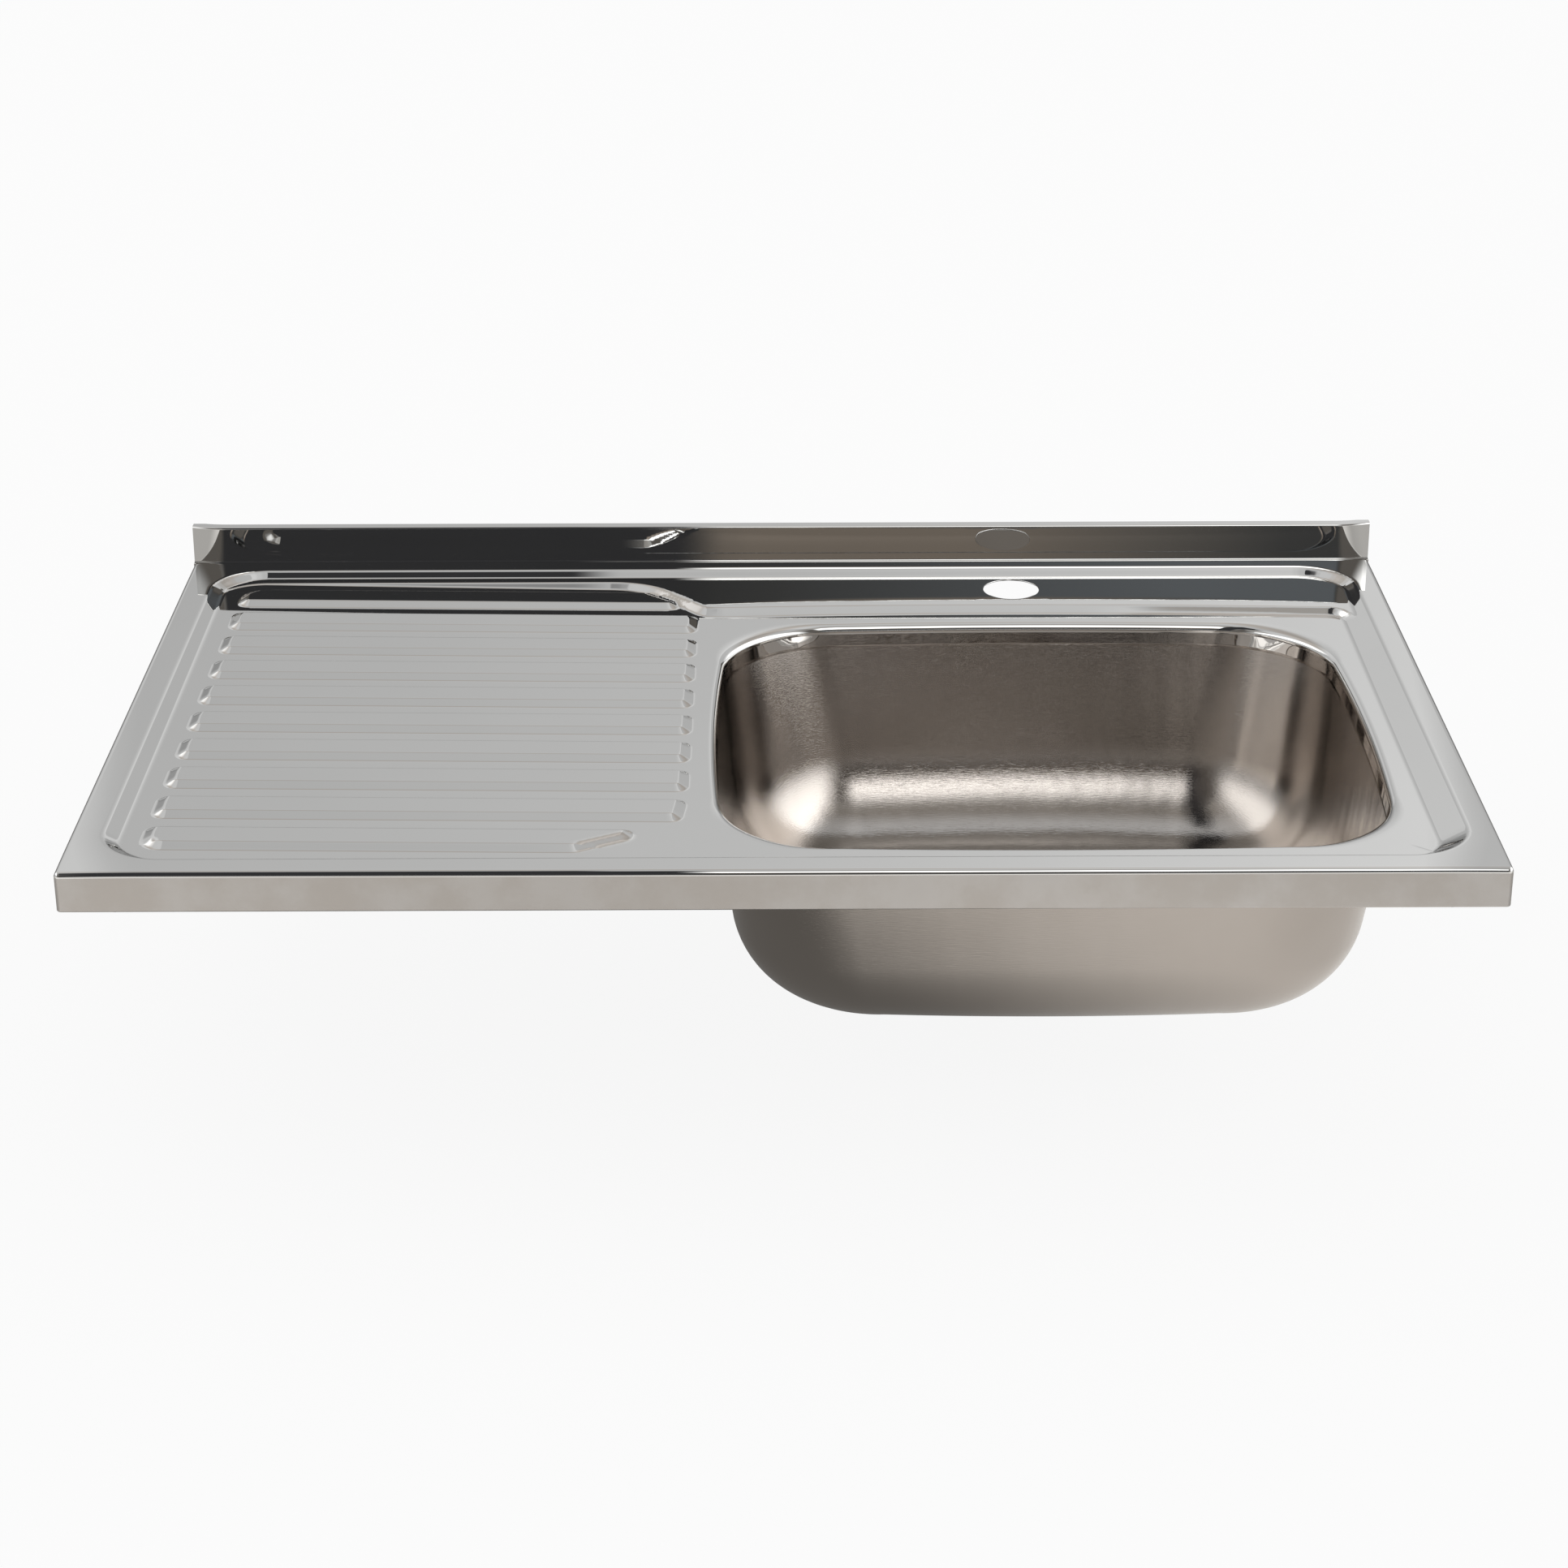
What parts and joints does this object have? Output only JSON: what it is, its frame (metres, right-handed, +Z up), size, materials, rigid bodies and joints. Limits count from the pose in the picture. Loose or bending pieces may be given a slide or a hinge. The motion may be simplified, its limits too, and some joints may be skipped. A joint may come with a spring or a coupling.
{
  "type": "kitchen sink with drainboard",
  "caption": "Lay-on stainless steel kitchen sink with a bowl on the right, a ribbed drainboard on the left, a tap ledge, a rear upstand and a basket strainer waste.",
  "frame": {"origin": "underside of the return lip, in the middle of the front one, where the sink sits on its cabinet", "axes": "+X to the right along the front, +Y to the back, +Z up"},
  "size_m": [0.8, 0.508, 0.2322],
  "materials": {
    "polished_steel": "mirror polished",
    "satin_steel": "satin",
    "bright_steel": "bright",
    "spring_steel": "zinc plated",
    "damping_pad": "matt",
    "rubber": "matt",
    "moulded_plastic": "moulded",
    "brass": "machined"
  },
  "bodies": {
    "sink": {"sink_top": "polished_steel", "bowl": "satin_steel", "sound_pad": "damping_pad", "waste_flange": "polished_steel", "flange_seal": "rubber", "body_seal": "rubber", "waste_body": "moulded_plastic", "clamp_screw": "bright_steel", "clamp_insert": "brass", "fixing_clip_front_left": "spring_steel", "fixing_clip_rear_left": "spring_steel", "fixing_clip_front_right": "spring_steel", "fixing_clip_rear_right": "spring_steel"},
    "basket": {"strainer_basket": "bright_steel", "basket_post": "bright_steel", "basket_knob": "bright_steel", "basket_stopper": "rubber"}
  },
  "joints": [
    {"name": "basket_lift", "type": "slide", "parent": "sink", "child": "basket", "axis": [0, 0, 1], "range_m": [0, 0.215]}
  ]
}
